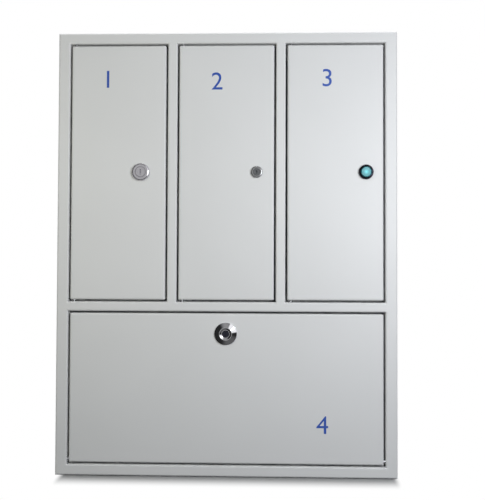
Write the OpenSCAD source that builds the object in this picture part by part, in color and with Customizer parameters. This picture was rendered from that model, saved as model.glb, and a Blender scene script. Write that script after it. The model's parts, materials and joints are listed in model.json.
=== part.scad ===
// Wall box for optical fibre: three operator doors over one wide distribution door.
// X runs to the right, Y from the front into the wall, Z up.
// The origin is the centre of the wall face.

/* [Cabinet] */
// Overall width
body_w = 460; // [420:1:560]
// Overall height
body_h = 600; // [570:1:760]
// Overall depth, from the wall to the front face
body_d = 150; // [130:1:220]
// Thickness of the tub's and the front frame's sheet
sheet = 1.2; // [1:0.1:1.6]
// Outer radius of the folded edges
bend_r = 2.5; // [2:0.1:3.2]
// Length of the backing strip inside the frame's rim
strip_lap = 8; // [5:0.5:12]
// Length of the backing strip inside the tub
strip_weld = 4; // [3:0.5:8]
// Gap at the seams between welded plates
seam = 0.1; // [0.05:0.05:0.2]

/* [Front frame] */
// Face width beside the doors
side_border = 16; // [15:0.5:24]
// Face height above the upper doors and below the lower door
end_border = 15; // [15:0.5:24]
// Face width between neighbouring doors
mullion_w = 13; // [12:0.5:20]
// Height of the lower window
lower_window_h = 206; // [195:1:230]
// Depth of the folded returns round each window
return_d = 20; // [19:0.5:26]
// Width of the strike lip behind each door
lip_w = 12; // [10:0.5:14]

/* [Doors] */
// Thickness of the doors' sheet
door_sheet = 1.2; // [1:0.1:1.6]
// Depth of the doors' folded edges
door_flange = 14; // [13:0.5:15]
// Corner radius of the doors, seen from the front
door_corner_r = 2.5; // [2:0.1:4]
// Gap between a door and its window
door_gap = 2.5; // [2.2:0.1:3.5]
// Hinge axis to the door's edge
hinge_inset = 4.6; // [4.6:0.2:8]
// Hinge axis to the front face
hinge_depth = 5; // [5:0.5:7]
// Diameter of the pivot pins
pin_d = 4; // [3:0.5:4.5]
// Diameter of the pins' heads and collars
pin_head_d = 5; // [5:0.5:6]
// Thickness of the pins' heads
pin_head_h = 2; // [1.5:0.5:3]
// Length of a pin inside its door
pin_reach = 5; // [3:0.5:8]
// Radial clearance of a pin in its holes
pin_fit = 0.05; // [0.02:0.01:0.1]
// End play between a pin's collar and the door
pin_end_play = 0.1; // [0.05:0.05:0.3]
// Width of the foam seal
seal_w = 8; // [5:0.5:9]
// Seal's edge to the window's edge
seal_inset = 1; // [0.5:0.1:1.5]
// Gap between the seal and a closed door
seal_gap = 0.3; // [0.2:0.1:0.6]
// Length without seal beside a hinge
seal_hinge_clear = 20; // [18:1:40]

/* [Locks] */
// Left lock's axis to its door's edge
left_lock_edge = 33.8; // [28:0.1:45]
// Middle lock's axis to its door's edge
middle_lock_edge = 23.4; // [20:0.1:40]
// Right lock's axis to its door's edge
right_lock_edge = 23.4; // [22:0.1:40]
// Lower lock's axis to its door's top edge
lower_lock_edge = 27.2; // [25:0.1:45]
// Head diameter of the left lock
left_head_d = 24; // [22:0.5:28]
// Head diameter of the middle lock
middle_head_d = 16; // [15:0.5:20]
// Head diameter of the right lock
right_head_d = 20; // [20:0.5:26]
// Head diameter of the lower lock
lower_head_d = 30; // [28:0.5:36]
// Head height of the left lock
left_head_h = 4; // [3:0.5:6]
// Head height of the middle lock
middle_head_h = 3; // [2.5:0.5:5]
// Head height of the right lock
right_head_h = 4.5; // [3:0.5:6]
// Head height of the lower lock
lower_head_h = 5.1; // [4.5:0.1:8]
// Body diameter of the left lock
left_barrel_d = 19; // [17:0.5:20]
// Body diameter of the middle lock
middle_barrel_d = 12; // [11.5:0.5:14]
// Body diameter of the right lock
right_barrel_d = 17; // [16.5:0.5:18]
// Body diameter of the lower lock
lower_barrel_d = 22; // [18:0.5:24]
// Plug diameter of the left lock
left_plug_d = 13; // [12:0.5:14]
// Plug diameter of the middle lock
middle_plug_d = 9; // [8:0.5:9.5]
// Plug diameter of the right lock
right_plug_d = 14; // [12:0.5:14.5]
// Plug diameter of the lower lock
lower_plug_d = 10; // [9:0.5:12]
// Crown diameter of the lower lock's head
crown_d = 17; // [16:0.5:20]
// Width of the crown's flats
crown_flat = 0.4; // [0.3:0.1:1]
// Height of the rim round the lower lock's head
crown_rim_h = 1.6; // [1:0.2:3]
// Depth of the bevel inside the crown
crown_sink = 1.5; // [1:0.1:2.5]
// How far the middle lock's plug sits under its head's face
middle_plug_sink = 1; // [0.6:0.1:1.5]
// How far the lower lock's plug sits under that bevel
plug_recess = 0.5; // [0.2:0.1:1]
// Rounding of the flat heads, as a share of their height
head_round = 0.6; // [0.3:0.05:0.8]
// Chamfer round the plug in a flat head
bore_chamfer = 0.7; // [0.4:0.1:0.8]
// Radial clearance of a plug in its barrel
plug_fit = 0.05; // [0.02:0.01:0.1]
// Radial clearance of a barrel in its door and its nut
barrel_fit = 0.1; // [0.05:0.05:0.2]
// Thickness of the barrels' fixing nuts
lock_nut_t = 5; // [3:0.5:6]
// Nut's width across flats, beyond the barrel
lock_nut_rim = 6; // [5:0.5:8]
// Thickness of the cams
cam_t = 2; // [1.5:0.5:3]
// Gap between a cam and what it passes
cam_gap = 0.4; // [0.3:0.1:0.8]
// How far a locked cam reaches behind the strike lip
cam_bite = 8; // [5:0.5:10]
// Width of the cams
cam_w = 14; // [10:0.5:16]
// Side of the square on which a cam sits
tang_w = 6; // [5.5:0.5:6]
// Clearance of a cam on its square
tang_fit = 0.1; // [0.05:0.05:0.2]
// Length of the cams' screws
cam_screw_l = 7; // [5:0.5:8]
// Length of the keyways, as a share of the plug's diameter
keyway_share = 0.6; // [0.4:0.05:0.7]
// Width of the keyways
keyway_w = 1.4; // [1:0.1:2]
// Depth of the keyways
keyway_depth = 8; // [5:0.5:9]
// Height of the right lock's dust cap
dust_cap_h = 1.6; // [1:0.1:2.5]

/* [Dividers and shelf] */
// Thickness of the dividers and the shelf
inner_sheet = 1; // [0.8:0.1:1.2]
// Outer radius of their folds and of the brackets' folds
inner_bend_r = 2; // [1.5:0.1:3]
// Width of their back flanges
inner_flange = 10; // [8:0.5:14]
// Gap between an inner sheet's edge and the wall beside it
inner_gap = 0.3; // [0.2:0.1:0.8]
// How far an inner sheet stops behind the front sheet
front_stop = 2; // [1:0.5:6]
// Length of the fibre slots in the shelf
slot_l = 80; // [60:1:100]
// Width of the fibre slots in the shelf
slot_w = 36; // [28:1:44]
// Corner radius of the fibre slots
slot_r = 5; // [2:0.5:10]
// Fibre slots' centre to the back wall
slot_y = 70; // [60:1:90]

/* [Splice trays] */
// Tray width
tray_w = 112; // [100:1:112]
// Tray depth
tray_t = 10; // [8:0.5:14]
// Trays in each stack
tray_count = 2; // [1:1:4]
// Gap between the trays of a stack
tray_gap = 0.2; // [0.1:0.1:0.5]
// Thickness of the trays' walls and floor
tray_wall = 1.5; // [1.2:0.1:2]
// Corner radius of the trays
tray_corner_r = 14; // [10:1:20]
// Radius of the fibre drums, as a share of the tray's height
drum_share = 0.14; // [0.12:0.005:0.16]
// Distance between the drums' centres, as a share of the tray's height
drum_pitch_share = 0.52; // [0.48:0.01:0.56]
// How far the drums stop under a tray's rim
drum_gap = 1; // [0.5:0.5:2]
// Size of the tabs that hold the fibre down
fibre_tab = 8; // [6:0.5:10]
// Splice slots in each tray
splice_count = 6; // [4:1:8]
// Spacing of the splice slots
splice_pitch = 4.5; // [4:0.1:5]
// Length of the splice holder, as a share of the tray's height
splice_share = 0.21; // [0.16:0.01:0.24]
// Thickness of the clear cover
cover_t = 1.5; // [1:0.1:3]
// Height of a stack's bottom edge over the shelf
tray_rise = 110; // [105:1:130]
// Drop of a stack's top edge under the roof
tray_drop = 100; // [95:1:130]
// Length of the standoffs behind a stack
standoff_l = 22; // [22:1:30]
// Standoffs' width across flats
standoff_af = 8; // [7:0.5:10]
// Diameter of the standoffs' studs and of the machine screws
stud_d = 4; // [3:0.5:5]
// Radial clearance of studs and screws in their holes
stud_fit = 0.15; // [0.05:0.05:0.3]
// Diameter of the thumb nuts
thumb_d = 13; // [10:0.5:16]
// Height of the thumb nuts
thumb_h = 8; // [6:0.5:12]
// Flutes of a thumb nut
flute_count = 10; // [6:1:14]
// Diameter of the flutes
flute_d = 2.8; // [2:0.2:3.6]
// Depth of the flutes
flute_depth = 0.8; // [0.4:0.1:1.2]
// Height of the plain collar under the flutes
flute_base = 1.5; // [1:0.5:3]

/* [Adapters] */
// Adapter's width along its row
adapter_w = 9.3; // [8.5:0.1:10]
// Adapter's width across its row
adapter_d = 12.8; // [12:0.1:14]
// Adapter's length
adapter_l = 28; // [24:0.5:32]
// Length of an adapter's flange across its row
adapter_flange_l = 22; // [20:0.5:24]
// Thickness of an adapter's flange
adapter_flange_t = 2; // [1.5:0.1:3]
// Thickness of an adapter's wall
adapter_wall = 1.1; // [0.8:0.1:1.4]
// Thickness of the wall between an adapter's sockets, beyond its flange
adapter_web = 4; // [2:0.5:6]
// Clearance of an adapter in its cut-out
adapter_fit = 0.15; // [0.1:0.05:0.3]
// Spacing of the adapters
adapter_pitch = 14.5; // [13:0.5:18]
// Height of a dust cap's head
cap_head_h = 6; // [4:0.5:10]
// Length of a dust cap's plug
cap_plug_l = 6; // [4:0.5:8]
// Clearance of a dust cap in its socket
cap_fit = 0.1; // [0.05:0.05:0.2]
// Thickness of the adapter brackets
bracket_sheet = 1.2; // [1:0.1:1.6]
// Depth of the adapter brackets
bracket_d = 42; // [40:1:60]
// Height of the brackets' back flanges
bracket_flange = 16; // [14:0.5:22]
// Height of the brackets' front lips
bracket_lip = 7; // [5:0.5:10]
// Height of the upper brackets over the shelf
bracket_rise = 62; // [56:1:70]
// Drop of the lower bracket under the shelf
bracket_drop = 74; // [70:1:80]
// Gap between a bracket's end and what stands beside it
bracket_end_gap = 2; // [1:0.5:6]
// Adapter row's centre to the back wall
adapter_y = 25; // [24:0.5:26]

/* [Cable fittings] */
// Diameter of the feeder holes in the top
feeder_hole_d = 26; // [20:1:32]
// Feeder holes' centre to the back wall
feeder_y = 60; // [40:1:80]
// Width of a grommet's flanges, beyond its hole
grommet_rim = 4; // [3:0.5:6]
// Thickness of a grommet's flanges
grommet_flange_t = 2.2; // [1.5:0.1:3]
// Wall thickness of a grommet's neck
grommet_wall = 2.5; // [2:0.1:3.5]
// Thickness of a grommet's membrane
grommet_web_t = 1.2; // [0.8:0.1:2]
// Clearance between a grommet and its hole
grommet_fit = 0.1; // [0.05:0.05:0.3]
// Cable diameter that a saddle takes
saddle_bore_d = 13; // [10:0.5:16]
// Thickness of the saddles
saddle_t = 1.2; // [1:0.1:1.6]
// Width of the saddles along the cable
saddle_w = 12; // [10:0.5:16]
// Length of a saddle's feet
saddle_foot = 12; // [11:0.5:16]
// Saddles' centre to the top
saddle_drop = 42; // [34:1:60]
// Height of the strength-member posts
post_h = 14; // [10:0.5:16]
// Posts' width across flats
post_af = 10; // [8:0.5:12]
// Diameter of the posts' cross holes
post_hole_d = 3.2; // [2:0.2:4]
// Posts' centre to the saddles' centre
post_drop = 32; // [24:1:40]
// Length of the posts' clamp screws
post_screw_l = 5; // [4:0.5:7]
// Drum diameter of the fibre spools
spool_d = 38; // [30:1:50]
// Length of the spools' drums
spool_l = 24; // [18:1:30]
// Width of the spools' flanges
spool_rim = 9; // [6:0.5:14]
// Thickness of the spools' flanges
spool_flange_t = 2; // [1.5:0.1:3]
// Thickness of the spools' drums
spool_wall = 2; // [1.5:0.1:3]
// Spools' centre to the floor
spool_rise = 76; // [70:1:90]
// Gap between the bottom entry plate and the sides
entry_margin = 28; // [20:1:80]
// Depth of the bottom entry plate's cut-out
entry_d = 62; // [50:1:70]
// Entry cut-out's centre to the back wall
entry_y = 74; // [65:1:80]
// Lap of the entry plate on the floor
entry_lap = 11; // [10:0.5:14]
// Thickness of the entry plate
entry_t = 1.5; // [1.2:0.1:2]
// Diameter of the drop-cable holes
drop_hole_d = 22; // [16:1:30]
// Spacing of the drop-cable holes
drop_pitch = 58; // [44:1:64]

/* [Fixings] */
// Diameter of the wall holes
wall_hole_d = 8; // [6:0.5:10]
// Wall holes' centre to the sides
wall_hole_x = 34; // [30:1:45]
// Wall holes' centre to the top and bottom
wall_hole_z = 30; // [24:1:36]
// Head diameter of the machine screws
screw_head_d = 8; // [7:0.5:9]
// Head height of the machine screws
screw_head_h = 2.6; // [2:0.1:3.5]
// Length of the cross recess in the machine screws
recess_l = 4.4; // [3:0.2:5]
// Width of the cross recess
recess_w = 1.1; // [0.8:0.1:1.4]
// Depth of the cross recess
recess_depth = 1.3; // [0.8:0.1:1.6]
// Earth stud's diameter
earth_d = 6; // [5:0.5:8]
// Earth stud's length
earth_l = 22; // [20:1:30]
// Width across flats of the earth stud's hexagons
earth_af = 10; // [9:0.5:13]
// Height of the earth stud's foot
earth_foot_h = 3.6; // [3:0.2:5]
// Height of the earth stud's nut
earth_nut_h = 4.8; // [4:0.2:6]
// Diameter of the earth stud's washer
earth_washer_d = 13; // [12:0.5:18]
// Thickness of the earth stud's washer
earth_washer_t = 1.5; // [1:0.1:2]
// Earth stud's centre to the side
earth_x = 34; // [28:1:45]
// Earth stud's centre to the floor
earth_z = 110; // [90:1:120]

/* [Hidden] */
$fn = 48;

paint = [0.83, 0.84, 0.84];
zinc = [0.72, 0.73, 0.74];
chrome = [0.8, 0.81, 0.83];
rubber = [0.13, 0.13, 0.14];

// How far a cutting shape runs past the face that it cuts
overcut = 1;

// Corners of the cabinet and of the space inside it
half_w = body_w / 2;
half_h = body_h / 2;
front_y = -body_d;
rim_y = front_y + return_d;
back_y = -sheet;
inner_w = body_w - 2 * sheet;
floor_z = -half_h + sheet;
roof_z = half_h - sheet;
tub_d = body_d - return_d;
strip_y0 = rim_y - strip_lap;
strip_y1 = rim_y + strip_weld;
strip_h = roof_z - sheet;

// Windows as [left, right, bottom, top, hinge side]
upper_w = (body_w - 2 * side_border - 2 * mullion_w) / 3;
lower_z0 = -half_h + end_border;
lower_z1 = lower_z0 + lower_window_h;
upper_z0 = lower_z1 + mullion_w;
upper_z1 = half_h - end_border;
function upper_x0(i) = -half_w + side_border + i * (upper_w + mullion_w);
function bay_x(i) = upper_x0(i) + upper_w / 2;
UPPER = [0, 1, 2];
LOWER = 3;
WINDOWS = [
  for (i = UPPER) [upper_x0(i), upper_x0(i) + upper_w, upper_z0, upper_z1, "left"],
  [-half_w + side_border, half_w - side_border, lower_z0, lower_z1, "bottom"]
];

// Shelf and dividers run into the hollow bars of the frame
shelf_top = lower_z1 + mullion_w / 2 + inner_sheet / 2;
inner_front_y = front_y + sheet + front_stop;
divider_x = [for (i = [0, 1]) upper_x0(i) + upper_w + mullion_w / 2];

// Locks as [x, z, head radius, head height, barrel radius, plug radius, axis to lip, plug's front]
lip_depth = return_d - sheet;
barrel_end = return_d + cam_gap;
cam_z = barrel_end + tang_fit;
upper_lock_z = (upper_z0 + upper_z1) / 2;
function upper_lock(i, edge, head_d, head_h, barrel_d, plug_d, plug_front) = [
  WINDOWS[i][1] - door_gap - edge, upper_lock_z, head_d / 2, head_h, barrel_d / 2, plug_d / 2,
  edge + door_gap - lip_w, plug_front
];
LOCKS = [
  upper_lock(0, left_lock_edge, left_head_d, left_head_h, left_barrel_d, left_plug_d, left_head_h),
  upper_lock(1, middle_lock_edge, middle_head_d, middle_head_h, middle_barrel_d, middle_plug_d,
      middle_head_h - middle_plug_sink),
  upper_lock(2, right_lock_edge, right_head_d, right_head_h, right_barrel_d, right_plug_d,
      right_head_h - dust_cap_h),
  [0, lower_z1 - door_gap - lower_lock_edge, lower_head_d / 2, lower_head_h, lower_barrel_d / 2,
      lower_plug_d / 2, lower_lock_edge + door_gap - lip_w, lower_head_h - crown_sink - plug_recess]
];

// Trays, brackets and fittings
tray_y = back_y - standoff_l;
tray_step = tray_t + tray_gap;
stack_front_y = tray_y - tray_count * tray_step;
tray_h = roof_z - tray_drop - shelf_top - tray_rise;
tray_z = shelf_top + tray_rise + tray_h / 2;
drum_r = tray_h * drum_share;
drum_pitch = tray_h * drum_pitch_share;
stud_l = tray_count * tray_step + cover_t + thumb_h / 2;
bracket_z = shelf_top + bracket_rise;
lower_bracket_z = shelf_top - inner_sheet - bracket_drop;
row_y = back_y - adapter_y;
bay_w = upper_w + mullion_w - inner_sheet;
bracket_w = bay_w - 2 * (inner_flange - inner_sheet + bracket_end_gap);
lower_bracket_w = inner_w - 2 * (sheet + bracket_end_gap);
function row_count(width) = floor((width - adapter_pitch / 2) / adapter_pitch);
function row_x(center, width) = [
  for (k = [0:row_count(width) - 1]) center + (k - (row_count(width) - 1) / 2) * adapter_pitch
];
socket_w = adapter_w - 2 * adapter_wall;
socket_d = adapter_d - 2 * adapter_wall;
socket_l = (adapter_l - adapter_flange_t - adapter_web) / 2;
saddle_z = roof_z - saddle_drop;
saddle_screw_x = saddle_bore_d / 2 + saddle_t + saddle_foot / 2;
post_z = saddle_z - post_drop;
spool_z = floor_z + spool_rise;
screw_r = stud_d / 2;
entry_yc = back_y - entry_y;
entry_l = inner_w - 2 * (entry_margin + entry_lap);
drop_count = floor((entry_l - drop_pitch / 4) / drop_pitch);
drop_x = [for (k = [0:drop_count - 1]) (k - (drop_count - 1) / 2) * drop_pitch];
entry_screw_x = entry_l / 2 + entry_lap / 2;

// Screws in the back wall as [x, z, thickness under the head]
bracket_screw_x = bracket_w / 2 - screw_head_d;
lower_screw_x = lower_bracket_w / 2 - screw_head_d;
flange_screw_rise = bracket_flange / 2 + inner_bend_r / 2;
BACK_SCREWS = [
  for (i = UPPER, s = [-1, 1]) [bay_x(i) + s * bracket_screw_x, bracket_z + flange_screw_rise, bracket_sheet],
  for (s = [-1, 0, 1]) [s * lower_screw_x, lower_bracket_z + flange_screw_rise, bracket_sheet],
  for (i = UPPER, s = [-1, 1]) [bay_x(i) + s * saddle_screw_x, saddle_z, saddle_t],
  for (i = UPPER) [bay_x(i), spool_z, spool_flange_t]
];

// Shapes that several pieces share

module box_between(a, b) {
  translate(a) cube(b - a);
}

// Rectangle with both corners at its low v edge rounded
module bent_profile(u0, u1, v0, v1, r) {
  translate([u0, v0 + r]) square([u1 - u0, v1 - v0 - r]);
  translate([u0 + r, v0]) square([u1 - u0 - 2 * r, v1 - v0]);
  for (u = [u0 + r, u1 - r])
    translate([u, v0 + r]) circle(r);
}

// Rectangle that flares outward in a quarter circle at its low v edge
module flare_profile(u0, u1, v0, v1, r) {
  translate([u0, v0 - overcut]) square([u1 - u0, v1 - v0 + overcut]);
  difference() {
    translate([u0 - r, v0 - overcut]) square([u1 - u0 + 2 * r, r + overcut]);
    for (u = [u0 - r, u1 + r])
      translate([u, v0 + r]) circle(r);
  }
}

// Extrudes a profile of x and y along Z
module along_z(z0, z1) {
  translate([0, 0, z0]) linear_extrude(z1 - z0) children();
}

// Extrudes a profile of z and y along X
module along_x(x0, x1) {
  translate([x0, 0, 0]) rotate([90, 0, 90]) linear_extrude(x1 - x0) mirror([1, -1, 0]) children();
}

// Block whose four front edges are folded round
module bent_block(x0, x1, y0, y1, z0, z1, r) {
  intersection() {
    along_z(z0, z1) bent_profile(x0, x1, y0, y1, r);
    along_x(x0, x1) bent_profile(z0, z1, y0, y1, r);
  }
}

// Folded pan block whose corners are also round in front view
module pan_block(x0, x1, y0, y1, z0, z1, r, corner_r) {
  intersection() {
    bent_block(x0, x1, y0, y1, z0, z1, r);
    translate([(x0 + x1) / 2, y1, (z0 + z1) / 2]) rotate([90, 0, 0])
      linear_extrude(y1 - y0)
      rounded_plate(x1 - x0, z1 - z0, corner_r);
  }
}

// Block whose four front edges flare outward, which cuts a folded window
module flared_block(x0, x1, y0, y1, z0, z1, r) {
  reach = r + overcut;
  intersection() {
    along_z(z0 - reach, z1 + reach) flare_profile(x0, x1, y0, y1, r);
    along_x(x0 - reach, x1 + reach) flare_profile(z0, z1, y0, y1, r);
  }
}

// Rectangle with one rounded corner at the origin
module corner_profile(a, b, r) {
  translate([r, 0]) square([a - r, b]);
  translate([0, r]) square([a, b - r]);
  translate([r, r]) circle(r);
}

// Folded angle with its bend at the origin
module angle_profile(a, b, t, r) {
  difference() {
    corner_profile(a, b, r);
    translate([t, t]) corner_profile(a + overcut, b + overcut, r - t);
  }
}

// Folded channel: a web with a flange at each end
module channel_profile(web, flange_a, flange_b, t, r) {
  angle_profile(web / 2, flange_a, t, r);
  translate([web, 0]) mirror([1, 0]) angle_profile(web / 2, flange_b, t, r);
}

// Rectangle round the origin with four rounded corners
module rounded_plate(w, h, r) {
  square([w - 2 * r, h], center = true);
  square([w, h - 2 * r], center = true);
  for (x = [-1, 1], y = [-1, 1])
    translate([x * (w / 2 - r), y * (h / 2 - r)]) circle(r);
}

// Stands children on a point of the back wall, with local z towards the front
module on_back(x, z, y = back_y) {
  translate([x, y, z]) rotate([90, 0, 0]) children();
}

// Puts children on a lock's axis, with local z into the cabinet and local y down
module at_lock(lock) {
  translate([lock[0], front_y, lock[1]]) rotate([-90, 0, 0]) children();
}

module hex_bar(af, length) {
  cylinder(h = length, r = af / 2 / cos(30), $fn = 6);
}

// Pan-head screw with a cross recess, whose head stands on z = 0
module pan_screw(length) {
  f = screw_head_h / 2;
  difference() {
    union() {
      rotate_extrude() {
        square([screw_head_d / 2, screw_head_h - f]);
        square([screw_head_d / 2 - f, screw_head_h]);
        intersection() {
          translate([screw_head_d / 2 - f, screw_head_h - f]) circle(f);
          translate([0, screw_head_h - f]) square([screw_head_d, f]);
        }
      }
      translate([0, 0, -length]) cylinder(h = length + overcut, r = screw_r);
    }
    for (size = [[recess_l, recess_w], [recess_w, recess_l]])
      translate([-size[0] / 2, -size[1] / 2, screw_head_h - recess_depth])
        cube([size[0], size[1], recess_depth + overcut]);
  }
}

// Cabinet

// Back and sides folded from one sheet, with a plate welded in at the top and at the bottom
module rear_tub() {
  color(paint)
  difference() {
    union() {
      tub_wrap();
      tub_end();
      mirror([0, 0, 1]) tub_end();
    }
    wall_holes();
    for (s = BACK_SCREWS)
      on_back(s[0], s[1]) back_hole(screw_r + stud_fit);
    for (i = UPPER)
      translate([bay_x(i), back_y - feeder_y, roof_z - overcut])
        cylinder(h = sheet + 2 * overcut, r = feeder_hole_d / 2);
    box_between([-entry_l / 2, entry_yc - entry_d / 2, -half_h - overcut],
        [entry_l / 2, entry_yc + entry_d / 2, floor_z + overcut]);
    entry_screws_at()
      translate([0, 0, -sheet - overcut]) cylinder(h = sheet + 2 * overcut, r = screw_r + stud_fit);
  }
}

module tub_wrap() {
  mirror([0, 1, 0])
    along_z(-half_h, half_h)
    difference() {
      bent_profile(-half_w, half_w, 0, tub_d, bend_r);
      bent_profile(-half_w + sheet, half_w - sheet, sheet, tub_d + overcut, bend_r - sheet);
    }
  for (side = [0, 1])
    mirror([side, 0, 0])
      box_between([half_w - 2 * sheet, strip_y0, -strip_h + seam],
          [half_w - sheet, strip_y1, strip_h - seam]);
}

module tub_end() {
  edge_x = half_w - sheet - seam;
  mirror([0, 1, 0])
    along_z(roof_z, half_h)
    bent_profile(-edge_x, edge_x, sheet + seam, tub_d, bend_r - sheet);
  box_between([-edge_x, strip_y0, strip_h], [edge_x, strip_y1, roof_z]);
}

module back_hole(r) {
  translate([0, 0, -sheet - overcut]) cylinder(h = sheet + 2 * overcut, r = r);
}

module wall_holes() {
  for (x = [-1, 1], z = [-1, 1])
    on_back(x * (half_w - wall_hole_x), z * (half_h - wall_hole_z)) back_hole(wall_hole_d / 2);
}

// Places of the entry plate's screws on the floor
module entry_screws_at() {
  for (x = [-1, 1], y = [-1, 1])
    translate([x * entry_screw_x, entry_yc + y * entry_d / 4, floor_z]) children();
}

// Clear opening of a window inside its strike lips, which leave out the hinge side
module lip_opening(w) {
  left = w[4] == "left" ? 0 : lip_w;
  bottom = w[4] == "bottom" ? 0 : lip_w;
  box_between([w[0] + left, front_y, w[2] + bottom],
      [w[1] - lip_w, rim_y + overcut, w[3] - lip_w]);
}

module front_frame() {
  color(paint)
  difference() {
    union() {
      difference() {
        bent_block(-half_w, half_w, front_y, rim_y, -half_h, half_h, bend_r);
        bent_block(-half_w + sheet, half_w - sheet, front_y + sheet, rim_y + overcut,
            floor_z, roof_z, bend_r - sheet);
      }
      for (w = WINDOWS)
        window_sleeve(w);
    }
    for (w = WINDOWS) {
      flared_block(w[0], w[1], front_y, front_y + lip_depth, w[2], w[3], bend_r);
      lip_opening(w);
      pins_at(w) translate([0, 0, -sheet - overcut])
        cylinder(h = sheet + 2 * overcut, r = pin_d / 2 + pin_fit);
    }
  }
}

// Solid block that the window cut turns into folded returns and lips
module window_sleeve(w) {
  intersection() {
    flared_block(w[0] - sheet, w[1] + sheet, front_y + sheet, rim_y, w[2] - sheet, w[3] + sheet,
        bend_r - sheet);
    box_between([-half_w, front_y + sheet / 2, -half_h], [half_w, rim_y, half_h]);
  }
}

module divider(x) {
  color(paint)
  translate([x - inner_sheet / 2, back_y, shelf_top])
    mirror([0, 1, 0])
    linear_extrude(roof_z - sheet - inner_gap - shelf_top)
    angle_profile(inner_flange, back_y - inner_front_y, inner_sheet, inner_bend_r);
}

module left_divider() {
  divider(divider_x[0]);
}

module right_divider() {
  divider(divider_x[1]);
}

// One folded plate under each operator bay, with their seams under the dividers
module shelf() {
  end_x = inner_w / 2 - sheet - inner_gap;
  left_x = [-end_x, divider_x[0] + seam, divider_x[1] + seam];
  right_x = [divider_x[0] - seam, divider_x[1] - seam, end_x];
  color(paint)
  for (i = UPPER)
    difference() {
      translate([left_x[i], back_y, shelf_top])
        rotate([90, 0, 90])
        linear_extrude(right_x[i] - left_x[i])
        mirror([1, 0])
        mirror([0, 1])
        angle_profile(back_y - inner_front_y, inner_flange, inner_sheet, inner_bend_r);
      translate([bay_x(i), back_y - slot_y, shelf_top - inner_sheet - overcut])
        linear_extrude(inner_sheet + 2 * overcut)
        rounded_plate(slot_l, slot_w, slot_r);
    }
}

// Doors

// Puts children on both pins of a window, with local z pointing from the frame into the door
module pins_at(w) {
  y = front_y + hinge_depth;
  offset_in = door_gap + hinge_inset;
  if (w[4] == "left") {
    translate([w[0] + offset_in, y, w[2]]) children();
    translate([w[0] + offset_in, y, w[3]]) rotate([180, 0, 0]) children();
  } else {
    translate([w[0], y, w[2] + offset_in]) rotate([0, 90, 0]) children();
    translate([w[1], y, w[2] + offset_in]) rotate([0, -90, 0]) children();
  }
}

module door(i) {
  w = WINDOWS[i];
  g = door_gap;
  t = door_sheet;
  color(paint)
  difference() {
    pan_block(w[0] + g, w[1] - g, front_y, front_y + door_flange, w[2] + g, w[3] - g,
        bend_r, door_corner_r);
    pan_block(w[0] + g + t, w[1] - g - t, front_y + t, front_y + door_flange + overcut,
        w[2] + g + t, w[3] - g - t, bend_r - t, door_corner_r - t);
    pins_at(w) cylinder(h = g + t + overcut, r = pin_d / 2 + pin_fit);
    at_lock(LOCKS[i]) translate([0, 0, -overcut])
      cylinder(h = t + 2 * overcut, r = LOCKS[i][4] + barrel_fit);
  }
}

module left_door() {
  door(0);
}

module middle_door() {
  door(1);
}

module right_door() {
  door(2);
}

module lower_door() {
  door(LOWER);
}

// Pin whose head sits behind the frame's return and whose collar spaces the door
module pivot_pin() {
  translate([0, 0, -sheet - pin_head_h]) cylinder(h = pin_head_h, d = pin_head_d);
  translate([0, 0, -sheet]) cylinder(h = sheet + door_gap + door_sheet + pin_reach, d = pin_d);
  cylinder(h = door_gap - pin_end_play, d = pin_head_d);
}

module door_pins(i) {
  color(zinc) pins_at(WINDOWS[i]) pivot_pin();
}

module left_door_pins() {
  door_pins(0);
}

module middle_door_pins() {
  door_pins(1);
}

module right_door_pins() {
  door_pins(2);
}

module lower_door_pins() {
  door_pins(LOWER);
}

// Foam on the front of the strike lips, open towards the hinge
module door_seals() {
  y1 = front_y + lip_depth;
  y0 = front_y + door_flange + seal_gap;
  outer = seal_inset;
  inner = seal_inset + seal_w;
  color(rubber)
  for (w = WINDOWS)
    difference() {
      box_between([w[0] + outer, y0, w[2] + outer], [w[1] - outer, y1, w[3] - outer]);
      box_between([w[0] + inner, y0 - overcut, w[2] + inner], [w[1] - inner, y1 + overcut, w[3] - inner]);
      if (w[4] == "left")
        box_between([w[0], y0 - overcut, w[2]], [w[0] + seal_hinge_clear, y1 + overcut, w[3]]);
      else
        box_between([w[0], y0 - overcut, w[2]], [w[1], y1 + overcut, w[2] + seal_hinge_clear]);
    }
}

// Locks

// Flat head with a rounded rim, standing out of the door along -z
module flat_head(r, h) {
  f = h * head_round;
  mirror([0, 0, 1])
  rotate_extrude() {
    square([r, h - f]);
    square([r - f, h]);
    intersection() {
      translate([r - f, h - f]) circle(f);
      translate([0, h - f]) square([r, f]);
    }
  }
}

// Bevelled head whose crown falls inward to the plug
module crown_head(r, h, plug_r) {
  crown_r = crown_d / 2;
  inner_h = h - crown_sink;
  mirror([0, 0, 1])
  rotate_extrude()
  polygon([[0, 0], [r, 0], [r, crown_rim_h], [crown_r, h], [crown_r - crown_flat, h],
      [plug_r + crown_flat, inner_h], [0, inner_h]]);
}

module lock_barrel(i) {
  lock = LOCKS[i];
  bore_r = lock[5] + plug_fit;
  difference() {
    union() {
      if (i == LOWER)
        crown_head(lock[2], lock[3], lock[5]);
      else
        flat_head(lock[2], lock[3]);
      cylinder(h = barrel_end, r = lock[4]);
    }
    translate([0, 0, -lock[3] - overcut])
      cylinder(h = lock[3] + barrel_end + 2 * overcut, r = bore_r);
    if (i != LOWER)
      translate([0, 0, -lock[3]]) cylinder(h = bore_chamfer, r1 = bore_r + bore_chamfer, r2 = bore_r);
  }
}

module lock_nut(i) {
  r = LOCKS[i][4];
  translate([0, 0, door_sheet])
  difference() {
    hex_bar(2 * r + lock_nut_rim, lock_nut_t);
    translate([0, 0, -overcut]) cylinder(h = lock_nut_t + 2 * overcut, r = r + barrel_fit);
  }
}

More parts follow.
